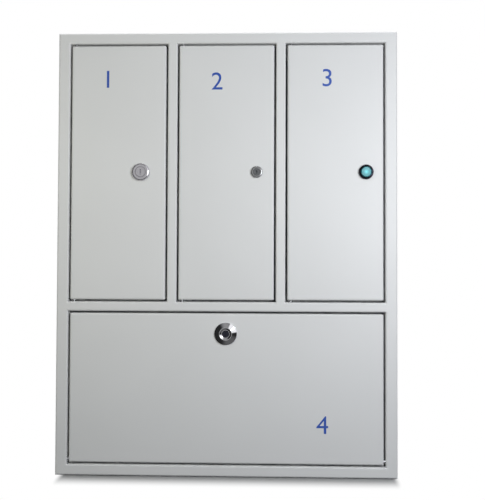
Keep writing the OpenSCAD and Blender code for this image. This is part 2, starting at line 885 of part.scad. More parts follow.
module lock_plug(i) {
  lock = LOCKS[i];
  tang_l = cam_z + cam_t - barrel_end;
  keyway_l = 2 * lock[5] * keyway_share;
  difference() {
    union() {
      translate([0, 0, -lock[7]]) cylinder(h = lock[7] + barrel_end, r = lock[5]);
      translate([-tang_w / 2, -tang_w / 2, barrel_end - overcut]) cube([tang_w, tang_w, tang_l + overcut]);
    }
    translate([-keyway_w / 2, -keyway_l / 2, -lock[7] - overcut])
      cube([keyway_w, keyway_l, keyway_depth + overcut]);
    translate([0, 0, cam_z + cam_t - cam_screw_l - overcut])
      cylinder(h = cam_screw_l + 2 * overcut, r = screw_r + stud_fit);
  }
}

// Flat bar with a round eye, along local y
module lock_cam(i) {
  length = LOCKS[i][6] + cam_bite;
  hole = tang_w + 2 * tang_fit;
  tip_r = cam_w / 4;
  translate([0, 0, cam_z])
  linear_extrude(cam_t)
  difference() {
    union() {
      circle(cam_w / 2);
      translate([-cam_w / 2, 0]) square([cam_w, length - tip_r]);
      translate([-cam_w / 2 + tip_r, 0]) square([cam_w - 2 * tip_r, length]);
      for (s = [-1, 1])
        translate([s * (cam_w / 2 - tip_r), length - tip_r]) circle(tip_r);
    }
    square([hole, hole], center = true);
  }
}

module lock_screw() {
  translate([0, 0, cam_z + cam_t]) pan_screw(cam_screw_l);
}

// The upper cams hang down when unlocked, and the lower one points to the left
module turned_cam(i) {
  rotate([0, 0, i == LOWER ? 90 : 0]) lock_cam(i);
}

module left_lock_barrel() {
  color(zinc) at_lock(LOCKS[0]) lock_barrel(0);
}

module left_lock_nut() {
  color(zinc) at_lock(LOCKS[0]) lock_nut(0);
}

module left_lock_plug() {
  color(zinc) at_lock(LOCKS[0]) lock_plug(0);
}

module left_lock_cam() {
  color(zinc) at_lock(LOCKS[0]) turned_cam(0);
}

module left_lock_screw() {
  color(zinc) at_lock(LOCKS[0]) lock_screw();
}

module middle_lock_barrel() {
  color("darkgray") at_lock(LOCKS[1]) lock_barrel(1);
}

module middle_lock_nut() {
  color(zinc) at_lock(LOCKS[1]) lock_nut(1);
}

module middle_lock_plug() {
  color("gray") at_lock(LOCKS[1]) lock_plug(1);
}

module middle_lock_cam() {
  color(zinc) at_lock(LOCKS[1]) turned_cam(1);
}

module middle_lock_screw() {
  color(zinc) at_lock(LOCKS[1]) lock_screw();
}

module right_lock_barrel() {
  color("dimgray") at_lock(LOCKS[2]) lock_barrel(2);
}

module right_lock_nut() {
  color(zinc) at_lock(LOCKS[2]) lock_nut(2);
}

module right_lock_plug() {
  color("dimgray") at_lock(LOCKS[2]) lock_plug(2);
}

module right_lock_cam() {
  color(zinc) at_lock(LOCKS[2]) turned_cam(2);
}

module right_lock_screw() {
  color(zinc) at_lock(LOCKS[2]) lock_screw();
}

// Domed disc on the front of the right lock's plug
module right_lock_dust_cap() {
  lock = LOCKS[2];
  color("turquoise")
  at_lock(lock)
    translate([0, 0, -lock[7]])
    mirror([0, 0, 1])
    cylinder(h = dust_cap_h, r1 = lock[5], r2 = lock[5] - dust_cap_h / 2);
}

module lower_lock_barrel() {
  color(chrome) at_lock(LOCKS[LOWER]) lock_barrel(LOWER);
}

module lower_lock_nut() {
  color(zinc) at_lock(LOCKS[LOWER]) lock_nut(LOWER);
}

module lower_lock_plug() {
  color("gray") at_lock(LOCKS[LOWER]) lock_plug(LOWER);
}

module lower_lock_cam() {
  color(zinc) at_lock(LOCKS[LOWER]) turned_cam(LOWER);
}

module lower_lock_screw() {
  color(zinc) at_lock(LOCKS[LOWER]) lock_screw();
}

// Splice trays

module ring_profile(r, wall) {
  difference() {
    circle(r);
    circle(r - wall);
  }
}

// One moulded tray, with its floor at z = 0 and its rim towards +z
module splice_tray() {
  inner_w = tray_w - 2 * tray_wall;
  inner_h = tray_h - 2 * tray_wall;
  entry_w = tray_corner_r;
  wall_h = tray_t - drum_gap;
  splice_l = tray_h * splice_share;
  holder_w = splice_count * splice_pitch;
  difference() {
    union() {
      linear_extrude(tray_wall) rounded_plate(tray_w, tray_h, tray_corner_r);
      linear_extrude(tray_t)
        difference() {
          rounded_plate(tray_w, tray_h, tray_corner_r);
          rounded_plate(inner_w, inner_h, tray_corner_r - tray_wall);
        }
      linear_extrude(wall_h)
        difference() {
          for (s = [-1, 1])
            translate([0, s * drum_pitch / 2]) ring_profile(drum_r, tray_wall);
          square([2 * drum_r + overcut, drum_pitch - drum_r], center = true);
        }
      for (s = [-1, 1])
        translate([0, s * drum_pitch / 2, 0]) cylinder(h = tray_t, r = standoff_af / 2);
      for (k = [0:splice_count])
        translate([k * splice_pitch - holder_w / 2 - tray_wall / 4, -splice_l / 2, 0])
          cube([tray_wall / 2, splice_l, wall_h / 2]);
      for (x = [-1, 1], y = [-1, 0, 1])
        translate([x * (inner_w - fibre_tab) / 2, y * tray_h / 3, tray_t - tray_wall / 2])
          cube([fibre_tab + tray_wall, fibre_tab, tray_wall], center = true);
    }
    for (s = [-1, 1]) {
      translate([0, s * drum_pitch / 2, -overcut])
        cylinder(h = tray_t + 2 * overcut, r = stud_d / 2 + stud_fit);
      translate([s * (tray_w / 2 - tray_corner_r - entry_w / 2), -tray_h / 2, tray_t / 2 + tray_wall])
        cube([entry_w, 2 * (tray_wall + overcut), tray_t], center = true);
    }
  }
}

module splice_trays(i) {
  color("aliceblue")
  for (k = [0:tray_count - 1])
    on_back(bay_x(i), tray_z, tray_y - k * tray_step) splice_tray();
}

module left_splice_trays() {
  splice_trays(0);
}

module middle_splice_trays() {
  splice_trays(1);
}

module right_splice_trays() {
  splice_trays(2);
}

module tray_cover(i) {
  color([0.8, 0.9, 0.95, 0.5])
  on_back(bay_x(i), tray_z, stack_front_y)
    linear_extrude(cover_t)
    difference() {
      rounded_plate(tray_w, tray_h, tray_corner_r);
      for (s = [-1, 1])
        translate([0, s * drum_pitch / 2]) circle(stud_d / 2 + stud_fit);
    }
}

module left_tray_cover() {
  tray_cover(0);
}

module middle_tray_cover() {
  tray_cover(1);
}

module right_tray_cover() {
  tray_cover(2);
}

// Places of the studs that carry the trays
module studs_at(y) {
  for (i = UPPER, s = [-1, 1])
    on_back(bay_x(i), tray_z + s * drum_pitch / 2, y) children();
}

module tray_standoffs() {
  color("goldenrod")
  studs_at(back_y) {
    hex_bar(standoff_af, standoff_l);
    cylinder(h = standoff_l + stud_l, r = stud_d / 2);
  }
}

// Fluted nut with a blind hole for its stud
module tray_thumb_nuts() {
  color("white")
  studs_at(stack_front_y - cover_t)
    difference() {
      cylinder(h = thumb_h, d = thumb_d);
      translate([0, 0, -overcut]) cylinder(h = thumb_h / 2 + 2 * overcut, r = stud_d / 2 + stud_fit);
      for (k = [0:flute_count - 1])
        rotate([0, 0, k * 360 / flute_count])
          translate([(thumb_d + flute_d) / 2 - flute_depth, 0, flute_base])
            cylinder(h = thumb_h, d = flute_d);
    }
}

// Adapters

// Folded bracket with its web's top face at z and one cut-out for each adapter
module adapter_bracket(center, width, z) {
  hole_w = adapter_w + 2 * adapter_fit;
  hole_d = adapter_d + 2 * adapter_fit;
  color(paint)
  difference() {
    translate([center - width / 2, back_y, z - bracket_sheet])
      rotate([90, 0, 90])
      linear_extrude(width)
      mirror([1, 0])
      channel_profile(bracket_d, bracket_flange, bracket_lip, bracket_sheet, inner_bend_r);
    for (x = row_x(center, width))
      translate([x - hole_w / 2, row_y - hole_d / 2, z - bracket_sheet - overcut])
        cube([hole_w, hole_d, bracket_sheet + 2 * overcut]);
    for (s = BACK_SCREWS)
      on_back(s[0], s[1]) cylinder(h = bracket_sheet + overcut, r = screw_r + stud_fit);
  }
}

module left_adapter_bracket() {
  adapter_bracket(bay_x(0), bracket_w, bracket_z);
}

module middle_adapter_bracket() {
  adapter_bracket(bay_x(1), bracket_w, bracket_z);
}

module right_adapter_bracket() {
  adapter_bracket(bay_x(2), bracket_w, bracket_z);
}

module distribution_bracket() {
  adapter_bracket(0, lower_bracket_w, lower_bracket_z);
}

// Square body with a socket at each end and a flange that rests on the bracket at z = 0
module adapter() {
  mid_z = adapter_flange_t / 2;
  difference() {
    union() {
      translate([0, 0, mid_z]) cube([adapter_w, adapter_d, adapter_l], center = true);
      translate([0, 0, mid_z]) cube([adapter_w, adapter_flange_l, adapter_flange_t], center = true);
    }
    for (s = [-1, 1])
      translate([0, 0, mid_z + s * (adapter_l / 2 - socket_l / 2 + overcut / 2)])
        cube([socket_w, socket_d, socket_l + overcut], center = true);
  }
}

module adapter_row(center, width, z) {
  color("royalblue")
  for (x = row_x(center, width))
    translate([x, row_y, z]) adapter();
}

module left_adapters() {
  adapter_row(bay_x(0), bracket_w, bracket_z);
}

module middle_adapters() {
  adapter_row(bay_x(1), bracket_w, bracket_z);
}

module right_adapters() {
  adapter_row(bay_x(2), bracket_w, bracket_z);
}

module distribution_adapters() {
  adapter_row(0, lower_bracket_w, lower_bracket_z);
}

// Dust cap on an adapter's upper end, at z = 0
module dust_cap() {
  plug_w = socket_w - 2 * cap_fit;
  plug_d = socket_d - 2 * cap_fit;
  translate([0, 0, cap_head_h / 2]) cube([adapter_w, adapter_d, cap_head_h], center = true);
  translate([0, 0, (overcut - cap_plug_l) / 2]) cube([plug_w, plug_d, cap_plug_l + overcut], center = true);
}

module cap_row(center, width, z) {
  mid_z = z + adapter_flange_t / 2;
  for (x = row_x(center, width)) {
    translate([x, row_y, mid_z + adapter_l / 2]) dust_cap();
    translate([x, row_y, mid_z - adapter_l / 2]) mirror([0, 0, 1]) dust_cap();
  }
}

module adapter_caps() {
  color("whitesmoke") {
    for (i = UPPER)
      cap_row(bay_x(i), bracket_w, bracket_z);
    cap_row(0, lower_bracket_w, lower_bracket_z);
  }
}

// Cable fittings

// Omega strap over a cable that runs along Z
module cable_saddles() {
  r = saddle_bore_d / 2;
  color(zinc)
  for (i = UPPER)
    translate([bay_x(i), back_y, saddle_z - saddle_w / 2])
      difference() {
        linear_extrude(saddle_w) mirror([0, 1]) saddle_profile(r);
        for (s = [-1, 1])
          translate([s * saddle_screw_x, 0, saddle_w / 2]) rotate([90, 0, 0])
            translate([0, 0, -overcut]) cylinder(h = saddle_t + 2 * overcut, r = screw_r + stud_fit);
      }
}

module saddle_profile(r) {
  outer = r + saddle_t;
  difference() {
    union() {
      translate([0, r]) circle(outer);
      translate([-outer, 0]) square([2 * outer, r]);
      translate([-outer - saddle_foot, 0]) square([2 * (outer + saddle_foot), saddle_t]);
    }
    translate([0, r]) circle(r);
    translate([-r, -outer]) square([2 * r, outer + r]);
    translate([-outer, -2 * outer]) square([2 * outer, 2 * outer]);
  }
}

// Hex posts with a cross hole, each with a clamp screw in its top
module strength_posts() {
  color("goldenrod")
  for (i = UPPER)
    on_back(bay_x(i), post_z)
      difference() {
        hex_bar(post_af, post_h);
        translate([0, 0, post_h - post_screw_l]) cylinder(h = post_screw_l + overcut, r = screw_r + stud_fit);
        translate([0, post_af, post_h / 3]) rotate([90, 0, 0]) cylinder(h = 2 * post_af, d = post_hole_d);
      }
}

module fibre_spools() {
  r = spool_d / 2;
  bore_r = screw_r + stud_fit;
  color("white")
  for (i = UPPER)
    on_back(bay_x(i), spool_z)
      rotate_extrude() {
        translate([bore_r, 0]) square([r + spool_rim / 2 - bore_r, spool_flange_t]);
        translate([r - spool_wall, 0]) square([spool_wall, spool_l]);
        translate([r - spool_wall, spool_l - spool_flange_t])
          square([spool_rim + spool_wall, spool_flange_t]);
      }
}

// Stud, washer and nut
module earth_stud() {
  x = half_w - earth_x;
  z = floor_z + earth_z;
  washer_z = earth_foot_h + stud_fit;
  nut_z = washer_z + earth_washer_t + stud_fit;
  color("goldenrod")
  on_back(x, z) {
    hex_bar(earth_af, earth_foot_h);
    cylinder(h = earth_l, d = earth_d);
    translate([0, 0, washer_z]) earth_ring(earth_washer_t) cylinder(h = earth_washer_t, d = earth_washer_d);
    translate([0, 0, nut_z]) earth_ring(earth_nut_h) hex_bar(earth_af, earth_nut_h);
  }
}

module earth_ring(h) {
  difference() {
    children();
    translate([0, 0, -overcut]) cylinder(h = h + 2 * overcut, r = earth_d / 2 + stud_fit);
  }
}

// Blind grommet in a sheet that lies from z = 0 to z = wall
module grommet(hole_d, wall, low_t, high_t) {
  neck_r = hole_d / 2 - grommet_fit;
  rim_r = hole_d / 2 + grommet_rim;
  inner_r = neck_r - grommet_wall;
  rotate_extrude() {
    square([neck_r, grommet_web_t]);
    translate([inner_r, -low_t]) square([grommet_wall, wall + low_t + high_t]);
    translate([inner_r, -low_t]) square([rim_r - inner_r, low_t]);
    translate([inner_r, wall]) square([rim_r - inner_r, high_t]);
  }
}

module feeder_grommets() {
  color(rubber)
  for (i = UPPER)
    translate([bay_x(i), back_y - feeder_y, roof_z])
      grommet(feeder_hole_d, sheet, grommet_flange_t, grommet_flange_t);
}

module entry_plate() {
  l = entry_l + 2 * entry_lap;
  d = entry_d + 2 * entry_lap;
  color(paint)
  difference() {
    translate([0, entry_yc, floor_z]) linear_extrude(entry_t) square([l, d], center = true);
    for (x = drop_x)
      translate([x, entry_yc, floor_z - overcut]) cylinder(h = entry_t + 2 * overcut, d = drop_hole_d);
    entry_screws_at()
      translate([0, 0, -overcut]) cylinder(h = entry_t + 2 * overcut, r = screw_r + stud_fit);
  }
}

module drop_grommets() {
  color(rubber)
  for (x = drop_x)
    translate([x, entry_yc, floor_z]) grommet(drop_hole_d, entry_t, sheet - grommet_fit, grommet_flange_t);
}

module mounting_screws() {
  color(zinc) {
    for (s = BACK_SCREWS)
      on_back(s[0], s[1]) translate([0, 0, s[2]]) pan_screw(s[2] + sheet);
    for (i = UPPER)
      on_back(bay_x(i), post_z) translate([0, 0, post_h]) pan_screw(post_screw_l);
    entry_screws_at() translate([0, 0, entry_t]) pan_screw(entry_t + sheet);
  }
}

rear_tub();
front_frame();
left_divider();
right_divider();
shelf();
left_door();
middle_door();
right_door();
lower_door();
left_door_pins();
middle_door_pins();
right_door_pins();
lower_door_pins();
door_seals();
left_lock_barrel();
left_lock_nut();
left_lock_plug();
left_lock_cam();
left_lock_screw();
middle_lock_barrel();
middle_lock_nut();
middle_lock_plug();
middle_lock_cam();
middle_lock_screw();
right_lock_barrel();
right_lock_nut();
right_lock_plug();
right_lock_cam();
right_lock_screw();
right_lock_dust_cap();
lower_lock_barrel();
lower_lock_nut();
lower_lock_plug();
lower_lock_cam();
lower_lock_screw();
left_splice_trays();
middle_splice_trays();
right_splice_trays();
left_tray_cover();
middle_tray_cover();
right_tray_cover();
tray_standoffs();
tray_thumb_nuts();
left_adapter_bracket();
middle_adapter_bracket();
right_adapter_bracket();
distribution_bracket();
left_adapters();
middle_adapters();
right_adapters();
distribution_adapters();
adapter_caps();
cable_saddles();
strength_posts();
fibre_spools();
earth_stud();
feeder_grommets();
entry_plate();
drop_grommets();
mounting_screws();
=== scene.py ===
"""Looks of the wall box for optical fibre: finishes, compartment numbers, studio and camera."""

import json
import math

import bpy
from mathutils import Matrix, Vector

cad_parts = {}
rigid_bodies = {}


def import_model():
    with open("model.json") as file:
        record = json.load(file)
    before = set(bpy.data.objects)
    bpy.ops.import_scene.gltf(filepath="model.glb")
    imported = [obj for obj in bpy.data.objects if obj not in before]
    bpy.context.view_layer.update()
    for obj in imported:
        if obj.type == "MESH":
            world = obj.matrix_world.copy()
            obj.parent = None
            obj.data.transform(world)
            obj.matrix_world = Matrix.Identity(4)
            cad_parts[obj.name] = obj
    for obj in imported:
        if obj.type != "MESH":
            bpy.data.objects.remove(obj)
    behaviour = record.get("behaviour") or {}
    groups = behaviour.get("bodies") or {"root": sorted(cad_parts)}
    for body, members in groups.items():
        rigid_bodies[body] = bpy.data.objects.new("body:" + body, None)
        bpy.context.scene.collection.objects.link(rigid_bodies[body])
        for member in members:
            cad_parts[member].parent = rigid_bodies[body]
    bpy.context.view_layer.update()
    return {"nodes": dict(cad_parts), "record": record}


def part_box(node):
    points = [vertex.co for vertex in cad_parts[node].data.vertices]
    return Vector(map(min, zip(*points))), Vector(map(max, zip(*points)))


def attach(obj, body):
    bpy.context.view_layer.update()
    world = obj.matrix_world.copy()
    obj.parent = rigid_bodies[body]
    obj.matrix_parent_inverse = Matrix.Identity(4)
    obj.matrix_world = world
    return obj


MM = 0.001

# The camera that the photograph's door lines fit, with the image taken as 485 x 500 pixels
CAMERA_PLACE = (0.0591, -1.2356, -0.0260)
CAMERA_TURN = (91.590, -0.216, 1.937)
FOCAL_PIXELS = 806.3
IMAGE_LONG_SIDE = 500
SENSOR = 36.0
CLIP = (0.01, 100)

# The box's front and underside
FRONT_Y = -0.150
FLOOR_Z = -0.300

# Floor: its front edge and its reach to the other sides, the gap under the box, the patch round the box's
# foot that shows a painted shadow, how far in front of that patch the floor is plain white, and the share of
# this at the sides
FLOOR_FRONT = -0.206
FLOOR_REACH = 20.0
FLOOR_GAP = 0.3 * MM
PAINTED_SHADOW_MIDDLE = (0.003, -0.075, 0)
PAINTED_SHADOW_HALF = (0.219, 0.075, 0)
PAINTED_SHADOW_FADE = 0.055
PAINTED_SHADOW_SIDE_SHARE = 0.2

# The floor's colour where it is seen, a grey that paints the shadow round the box's foot and takes the lamps'
# real shadow too, and as a reflector, which leaves the box's lower half in shade
FLOOR_SEEN_PAINTED_SHADOW = (0.325, 0.325, 0.325, 1)
FLOOR_REFLECTED = (0.12, 0.12, 0.125, 1)

# Numbers on the doors as (body, number, (x, z) of its centre)
NUMBER_SIZE = 0.034
PRINT_FILM = 0.03 * MM
NUMBERS = [
    ("left_door_leaf", "1", (-0.162, 0.235)),
    ("middle_door_leaf", "2", (-0.013, 0.232)),
    ("right_door_leaf", "3", (0.136, 0.236)),
    ("lower_door_leaf", "4", (0.130, -0.231)),
]

# Metals as (colour, roughness)
METALS = {
    "satin_nickel": ((0.62, 0.61, 0.64), 0.20),
    "zinc": ((0.36, 0.365, 0.37), 0.24),
    "dark_chrome": ((0.040, 0.042, 0.058), 0.14),
    "bright_chrome": ((0.76, 0.76, 0.79), 0.06),
    "brass": ((0.72, 0.52, 0.22), 0.28),
}

# Pieces whose metal is darker and rougher than the rest of their slot, the darker colour being painted shade
# for the lock's dark middle
PAINTED_SHADE_METALS = {
    "middle_lock_plug": ((0.15, 0.155, 0.16), 0.34),
}

# Plastics as (colour, roughness)
PLASTICS = {
    "tray_plastic": ((0.56, 0.62, 0.66), 0.42),
    "adapter_plastic": ((0.035, 0.12, 0.46), 0.36),
    "white_plastic": ((0.74, 0.74, 0.71), 0.40),
}

# Rubber and foam as (colour, roughness, pits in a metre, depth of the pits)
RUBBERS = {
    "foam": ((0.16, 0.16, 0.17), 0.9, 1400, 0.25 * MM),
    "rubber": ((0.022, 0.022, 0.024), 0.6, 900, 0.05 * MM),
}

# The dust cap's colour at its middle, made lighter by painted light, and near its rim, as (distance from the
# middle, colour)
CAP_GLOW_TONES = [
    (1.5 * MM, (0.15, 0.74, 0.80, 1)),
    (4.0 * MM, (0.04, 0.28, 0.32, 1)),
]

# The part of a noise texture's range that its values mostly fill
NOISE_SPAN = (0.3, 0.7)

# World: the fill light's colour, its strength from above and from below, and the height over which it changes
FILL_COLOR = (0.912, 0.964, 1.075, 1)
WORLD_FILL = 0.32
GROUND_FILL = 0.06
HORIZON = 0.05

# What metal sees of the room: the backdrop, the wall in front, the ceiling, a soft box at the upper right and
# a faint glow at the lower right, as (direction, cosine where it starts, cosine where it is full, brightness)
ROOM_DARK = 0.03
ROOM = [
    ((0, 1, 0), 0.10, 0.50, 1.0),
    ((0, -1, 0), 0.70, 0.96, 0.72),
    ((0, -0.3, 1), 0.75, 0.95, 0.40),
    ((0.644, -0.609, 0.462), 0.88, 0.94, 1.4),
    ((0.35, -0.56, -0.75), 0.70, 0.98, 0.16),
]

# Soft boxes as (name, place, target, (width, depth), watts, colour, shows in metal)
LAMPS = [
    ("key", (0.42, -0.76, 0.13), (0.13, FRONT_Y, 0.17), (0.36, 0.36), 4.15, (0.958, 0.977, 1.013), True),
    ("fill", (-0.42, -0.71, 0.14), (-0.10, FRONT_Y, 0.10), (0.36, 0.36), 1.4, (1.0, 0.98, 0.81), False),
    ("top", (0, 0.06, 2.6), (0, 0.06, 0), (1.4, 0.42), 45, (1.0, 1.0, 1.0), True),
    ("back", (0.55, 1.40, 0.75), (0, 0, 0), (0.80, 0.80), 17, (1.0, 1.0, 1.0), False),
    ("side", (-1.3, 0.45, 0.35), (-0.23, -0.05, 0), (0.80, 0.80), 5, (1.0, 1.0, 1.0), False),
]


# Node helpers

def new_material(name):
    """A material with a Principled shader, as (material, nodes, links, shader)."""
    material = bpy.data.materials.new(name)
    material.use_nodes = True
    nodes = material.node_tree.nodes
    return material, nodes, material.node_tree.links, nodes["Principled BSDF"]


def noise(nodes, links, scale, detail=2.0, stretch=(1, 1, 1)):
    """Noise in the model's own metres, about 1 / scale metres from lump to lump."""
    place = nodes.new("ShaderNodeTexCoord")
    mapping = nodes.new("ShaderNodeMapping")
    mapping.inputs["Scale"].default_value = stretch
    texture = nodes.new("ShaderNodeTexNoise")
    texture.inputs["Scale"].default_value = scale
    texture.inputs["Detail"].default_value = detail
    links.new(place.outputs["Object"], mapping.inputs["Vector"])
    links.new(mapping.outputs["Vector"], texture.inputs["Vector"])
    return texture.outputs["Fac"]


def turned_rings(nodes, links, axis, scale):
    """Fine rings round an axis along Y that passes through axis = (x, z)."""
    place = nodes.new("ShaderNodeTexCoord")
    mapping = nodes.new("ShaderNodeMapping")
    mapping.inputs["Location"].default_value = (-axis[0], 0, -axis[1])
    texture = nodes.new("ShaderNodeTexWave")
    texture.wave_type = "RINGS"
    texture.rings_direction = "Y"
    texture.inputs["Scale"].default_value = scale
    texture.inputs["Distortion"].default_value = 1.5
    texture.inputs["Detail"].default_value = 2.0
    links.new(place.outputs["Object"], mapping.inputs["Vector"])
    links.new(mapping.outputs["Vector"], texture.inputs["Vector"])
    return texture.outputs["Fac"]


def vary_color(nodes, links, factor, low, high, shader):
    """Base colour that wanders from low to high with factor."""
    ramp = nodes.new("ShaderNodeValToRGB")
    for stop, position, color in zip(ramp.color_ramp.elements, NOISE_SPAN, (low, high)):
        stop.position = position
        stop.color = (*color, 1)
    links.new(factor, ramp.inputs["Fac"])
    links.new(ramp.outputs["Color"], shader.inputs["Base Color"])


def vary_roughness(nodes, links, factor, low, high, shader):
    """Roughness that wanders from low to high with factor."""
    spread = nodes.new("ShaderNodeMapRange")
    spread.inputs["From Min"].default_value, spread.inputs["From Max"].default_value = NOISE_SPAN
    spread.inputs["To Min"].default_value = low
    spread.inputs["To Max"].default_value = high
    links.new(factor, spread.inputs["Value"])
    links.new(spread.outputs["Result"], shader.inputs["Roughness"])


def bump(nodes, links, factor, height, shader, strength=0.5):
    """Surface relief of that height in metres."""
    relief = nodes.new("ShaderNodeBump")
    relief.inputs["Strength"].default_value = strength
    relief.inputs["Distance"].default_value = height
    links.new(factor, relief.inputs["Height"])
    links.new(relief.outputs["Normal"], shader.inputs["Normal"])


def shade(color, change):
    """A colour made lighter or darker by a share."""
    return tuple(min(1.0, c * (1 + change)) for c in color)


# Finishes

def powder_coat():
    """Light-grey powder coat with a fine orange peel."""
    material, nodes, links, shader = new_material("powder_coat")
    color = (0.657, 0.661, 0.660)
    clouds = noise(nodes, links, scale=7, detail=2)
    peel = noise(nodes, links, scale=620, detail=3)
    vary_color(nodes, links, clouds, shade(color, -0.015), shade(color, 0.015), shader)
    vary_roughness(nodes, links, peel, 0.42, 0.54, shader)
    bump(nodes, links, peel, 0.06 * MM, shader)
    shader.inputs["Specular IOR Level"].default_value = 0.42
    return material


def plated_metal(name, look, axis=None):
    """Plated metal with look = (colour, roughness) and a fine grain, or turning marks round an axis."""
    color, rough = look
    material, nodes, links, shader = new_material(name)
    if axis:
        grain = turned_rings(nodes, links, axis, scale=900)
    else:
        grain = noise(nodes, links, scale=700, detail=4)
    stains = noise(nodes, links, scale=120, detail=2)
    vary_color(nodes, links, stains, shade(color, -0.06), shade(color, 0.05), shader)
    vary_roughness(nodes, links, grain, rough * 0.85, rough * 1.2, shader)
    bump(nodes, links, grain, 0.01 * MM, shader, strength=0.25)
    shader.inputs["Metallic"].default_value = 1.0
    return material


def moulded_plastic(name, color, rough):
    """Moulded plastic with a fine spark-eroded skin."""
    material, nodes, links, shader = new_material(name)
    skin = noise(nodes, links, scale=1500, detail=3)
    flow = noise(nodes, links, scale=35, detail=2)
    vary_color(nodes, links, flow, shade(color, -0.05), shade(color, 0.05), shader)
    vary_roughness(nodes, links, skin, rough * 0.85, rough * 1.15, shader)
    bump(nodes, links, skin, 0.03 * MM, shader, strength=0.3)
    return material


def clear_plastic():
    """Clear acrylic sheet with faint handling marks."""
    material, nodes, links, shader = new_material("clear_plastic")
    marks = noise(nodes, links, scale=60, detail=4, stretch=(1, 1, 0.2))
    vary_roughness(nodes, links, marks, 0.02, 0.09, shader)
    shader.inputs["Base Color"].default_value = (0.93, 0.97, 0.98, 1)
    shader.inputs["IOR"].default_value = 1.49
    shader.inputs["Transmission Weight"].default_value = 1.0
    return material


def soft_rubber(name, color, rough, cell_scale, depth):
    """Rubber or foam whose cells or dust show as fine pits."""
    material, nodes, links, shader = new_material(name)
    cells = noise(nodes, links, scale=cell_scale, detail=3)
    vary_color(nodes, links, cells, shade(color, -0.25), shade(color, 0.35), shader)
    vary_roughness(nodes, links, cells, rough - 0.08, rough + 0.06, shader)
    bump(nodes, links, cells, depth, shader)
    return material


def middle_of(node):
    """(x, z) of the centre of a CAD node."""
    low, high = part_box(node)
    return (low[0] + high[0]) / 2, (low[2] + high[2]) / 2


def dust_cap_plastic():
    """Turquoise plastic with painted light that makes it lighter towards its middle."""
    material, nodes, links, shader = new_material("turquoise_plastic")
    x, z = middle_of("right_lock_dust_cap")
    place = nodes.new("ShaderNodeTexCoord")
    mapping = nodes.new("ShaderNodeMapping")
    mapping.inputs["Location"].default_value = (-x, 0, -z)
    mapping.inputs["Scale"].default_value = (1, 0, 1)
    distance = nodes.new("ShaderNodeVectorMath")
    distance.operation = "LENGTH"
    # Painted light: the ramp makes the cap lighter at its middle than near its rim
    ramp = nodes.new("ShaderNodeValToRGB")
    for stop, (position, color) in zip(ramp.color_ramp.elements, CAP_GLOW_TONES):
        stop.position = position
        stop.color = color
    links.new(place.outputs["Object"], mapping.inputs["Vector"])
    links.new(mapping.outputs["Vector"], distance.inputs[0])
    links.new(distance.outputs["Value"], ramp.inputs["Fac"])
    links.new(ramp.outputs["Color"], shader.inputs["Base Color"])
    skin = noise(nodes, links, scale=1500, detail=3)
    vary_roughness(nodes, links, skin, 0.2, 0.3, shader)
    bump(nodes, links, skin, 0.02 * MM, shader, strength=0.3)
    shader.inputs["Specular IOR Level"].default_value = 0.25
    shader.inputs["Coat Weight"].default_value = 0.12
    shader.inputs["Coat Roughness"].default_value = 0.08
    return material


def dress(nodes, record):
    """Gives every CAD node the finish that its material slot names."""
    finishes = {
        "powder_coat": powder_coat(),
        "turquoise_plastic": dust_cap_plastic(),
        "clear_plastic": clear_plastic(),
    }
    for slot in ("zinc", "brass"):
        finishes[slot] = plated_metal(slot, METALS[slot])
    for slot, look in PLASTICS.items():
        finishes[slot] = moulded_plastic(slot, *look)
    for slot, look in RUBBERS.items():
        finishes[slot] = soft_rubber(slot, *look)
    for subpart in record["subparts"]:
        node, slot = subpart["node"], subpart["material_slot"]
        finish = finishes.get(slot)
        if node.endswith(("_lock_barrel", "_lock_plug")):
            # The middle lock's plug is painted darker, as shade for the lock's dark middle and keyway
            metal = PAINTED_SHADE_METALS.get(node, METALS[slot])
            finish = plated_metal(slot + "_" + node, metal, middle_of(node))
        mesh = nodes[node].data
        mesh.materials.clear()
        mesh.materials.append(finish)


# Compartment numbers

def ink():
    """Blue screen print with a slightly uneven film."""
    material, nodes, links, shader = new_material("print_blue")
    film = noise(nodes, links, scale=400, detail=3)
    color = (0.02, 0.075, 0.36)
    vary_color(nodes, links, film, shade(color, -0.12), shade(color, 0.15), shader)
    vary_roughness(nodes, links, film, 0.34, 0.46, shader)
    bump(nodes, links, film, 0.01 * MM, shader, strength=0.3)
    return material


def add_number(door, number, place, material):
    """A plain printed number on a door, centred at place = (x, z)."""
    text = bpy.data.curves.new("number_" + number, "FONT")
    text.body = number
    text.size = NUMBER_SIZE
    text.align_x = "CENTER"
    text.align_y = "CENTER"
    text.extrude = PRINT_FILM
    text.materials.append(material)
    piece = bpy.data.objects.new("number_" + number, text)
    piece.location = (place[0], FRONT_Y - PRINT_FILM, place[1])
    piece.rotation_euler = (math.radians(90), 0, 0)
    bpy.context.scene.collection.objects.link(piece)
    bpy.context.view_layer.update()
    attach(piece, door)


# Studio

def rays_that_see(nodes, links):
    """Two values that are 1 for rays that see: from the camera or through glass, and these or in metal."""
    path = nodes.new("ShaderNodeLightPath")
    direct = nodes.new("ShaderNodeMath")
    direct.operation = "MAXIMUM"
    any_sight = nodes.new("ShaderNodeMath")
    any_sight.operation = "MAXIMUM"
    links.new(path.outputs["Is Camera Ray"], direct.inputs[0])
    links.new(path.outputs["Is Transmission Ray"], direct.inputs[1])
    links.new(direct.outputs["Value"], any_sight.inputs[0])
    links.new(path.outputs["Is Glossy Ray"], any_sight.inputs[1])
    return direct.outputs["Value"], any_sight.outputs["Value"]


